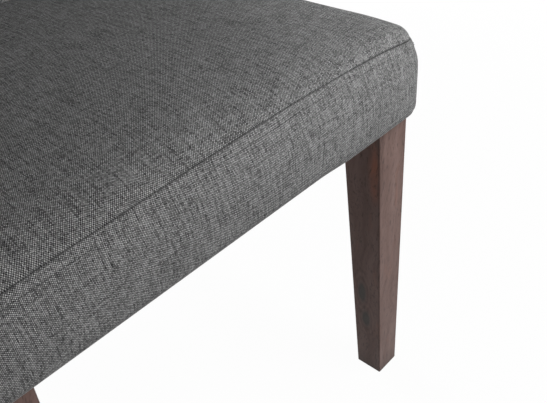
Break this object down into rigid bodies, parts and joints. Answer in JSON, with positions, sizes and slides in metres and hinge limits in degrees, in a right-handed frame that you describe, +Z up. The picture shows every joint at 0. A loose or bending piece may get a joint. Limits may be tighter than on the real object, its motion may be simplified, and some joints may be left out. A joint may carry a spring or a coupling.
{
  "type": "upholstered dining chair",
  "caption": "Armless dining chair with a boxed, crowned grey fabric seat and a leaning padded back on straight dark wooden legs that taper to the foot",
  "frame": {"origin": "on the floor, midway across the chair and midway between the front of the seat and the rear of the back", "axes": "+Z up, +Y from the front of the seat to the back, +X to the right when looking at the front of the seat from ahead of it along +Y"},
  "size_m": [0.4968, 0.5773, 0.9504],
  "materials": {
    "stained_wood": "dark brown stain under a satin lacquer",
    "frame_wood": "planed, unfinished",
    "hardboard": "pressed board",
    "grey_weave": "plain weave of mixed light and dark grey yarn with slubs",
    "foam": "open-cell upholstery foam",
    "webbing": "woven strap",
    "dust_cloth": "thin black non-woven cloth"
  },
  "bodies": {
    "root": {"back_board": "hardboard", "back_boxing": "grey_weave", "back_edge_padding_left": "foam", "back_edge_padding_right": "foam", "back_foam": "foam", "back_inside_panel": "grey_weave", "back_lower_rail": "frame_wood", "back_middle_rail": "frame_wood", "back_outside_panel": "grey_weave", "back_rear_padding": "foam", "back_top_padding": "foam", "back_top_rail": "frame_wood", "corner_block_front_left": "frame_wood", "corner_block_front_right": "frame_wood", "corner_block_rear_left": "frame_wood", "corner_block_rear_right": "frame_wood", "dust_cover": "dust_cloth", "front_edge_padding": "foam", "front_leg_left": "stained_wood", "front_leg_right": "stained_wood", "front_rail": "frame_wood", "rear_leg_left": "stained_wood", "rear_leg_right": "stained_wood", "rear_rail": "frame_wood", "seat_boxing": "grey_weave", "seat_foam": "foam", "seat_top_panel": "grey_weave", "seat_webbing_cross": "webbing", "seat_webbing_long": "webbing", "side_edge_padding_left": "foam", "side_edge_padding_right": "foam", "side_rail_left": "frame_wood", "side_rail_right": "frame_wood"}
  },
  "joints": []
}
